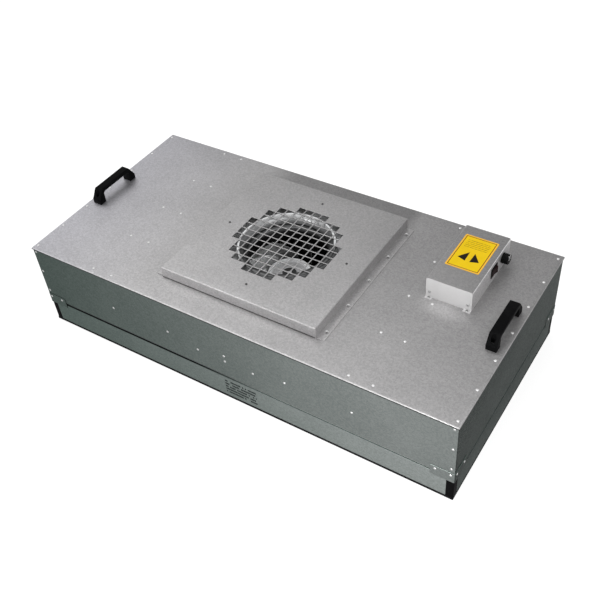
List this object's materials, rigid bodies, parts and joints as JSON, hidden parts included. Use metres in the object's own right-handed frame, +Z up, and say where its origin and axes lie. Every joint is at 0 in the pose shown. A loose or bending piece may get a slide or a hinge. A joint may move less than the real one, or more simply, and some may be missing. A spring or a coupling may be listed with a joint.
{
  "type": "fan filter unit",
  "caption": "Ceiling fan filter unit: folded sheet casing with a grilled air inlet, fan, control box and two handles on top of a pleated panel filter.",
  "frame": {"origin": "middle of the underside of the lower gasket, on which the unit rests", "axes": "+X along the length towards the control box, -Y the front long side, +Z up through the air inlet"},
  "size_m": [1.1756, 0.5756, 0.3064],
  "materials": {
    "galvanised": "galvanised sheet, fine grain, semi-gloss",
    "galvanised_side": "galvanised sheet seen in shade, fine grain",
    "zinc_fastener": "zinc plated",
    "dark_fastener": "blackened",
    "aluminium": "spun and pressed aluminium",
    "machined_steel": "turned",
    "copper": "varnished windings and laminations",
    "foam": "open cell foam",
    "gasket": "closed cell foam rubber",
    "black_plastic": "moulded, fine texture",
    "gloss_black": "moulded, glossy",
    "dark_red": "moulded, glossy",
    "filter_paper": "glass fibre paper",
    "sealant": "cast resin",
    "white_paint": "white paint, semi-gloss",
    "label": "yellow with a dark border and two plain marks",
    "white_plastic": "moulded",
    "brass_pins": "plated"
  },
  "bodies": {
    "unit": {"top_panel": "galvanised", "front_panel": "galvanised_side", "back_panel": "galvanised_side", "left_panel": "galvanised_side", "right_panel": "galvanised_side", "pop_rivets": "zinc_fastener", "cross_channel_left": "galvanised", "cross_channel_right": "galvanised", "inlet_cover": "galvanised", "cover_bolts": "zinc_fastener", "inlet_ring": "aluminium", "ring_posts": "zinc_fastener", "ring_screws": "dark_fastener", "motor_support": "galvanised", "motor_flange": "aluminium", "motor_screws": "zinc_fastener", "stator_core": "copper", "motor_bearings": "machined_steel", "baffle_left": "galvanised", "baffle_right": "galvanised", "baffle_foam_left": "foam", "baffle_foam_right": "foam", "seam_gasket": "gasket", "filter_rail_front": "galvanised_side", "filter_rail_back": "galvanised_side", "filter_rail_left": "galvanised_side", "filter_rail_right": "galvanised_side", "corner_post_front_left": "black_plastic", "corner_post_front_right": "black_plastic", "corner_post_back_left": "black_plastic", "corner_post_back_right": "black_plastic", "filter_sealant": "sealant", "filter_media": "filter_paper", "filter_guard": "white_paint", "bottom_gasket": "gasket", "corner_bracket_front_left": "galvanised", "corner_bracket_front_right": "galvanised", "corner_bracket_back_left": "galvanised", "corner_bracket_back_right": "galvanised", "box_base": "white_paint", "box_cover": "galvanised", "box_screws": "zinc_fastener", "label_plate": "label", "power_inlet": "gloss_black", "inlet_pins": "brass_pins", "switch_body": "gloss_black", "speed_control": "machined_steel", "run_capacitor": "white_plastic", "handle_left": "black_plastic", "handle_right": "black_plastic", "handle_screws": "zinc_fastener"},
    "fan": {"rotor_can": "machined_steel", "motor_shaft": "machined_steel", "impeller_back_plate": "aluminium", "impeller_blades": "aluminium", "impeller_shroud": "aluminium", "impeller_screws": "zinc_fastener"},
    "rocker": {"switch_rocker": "dark_red"},
    "knob": {"knob_shaft": "machined_steel", "speed_knob": "gloss_black"}
  },
  "joints": [
    {"name": "fan_spin", "type": "hinge", "parent": "unit", "child": "fan", "pos_m": [0, 0, 0.15], "axis": [0, 0, 1], "continuous": true},
    {"name": "rocker_switch", "type": "hinge", "parent": "unit", "child": "rocker", "pos_m": [0.4725, 0.1355, 0.281], "axis": [0, 0, 1], "range_deg": [0, 20]},
    {"name": "speed_turn", "type": "hinge", "parent": "unit", "child": "knob", "pos_m": [0.4735, 0.186, 0.281], "axis": [1, 0, 0], "range_deg": [-135, 135]}
  ]
}
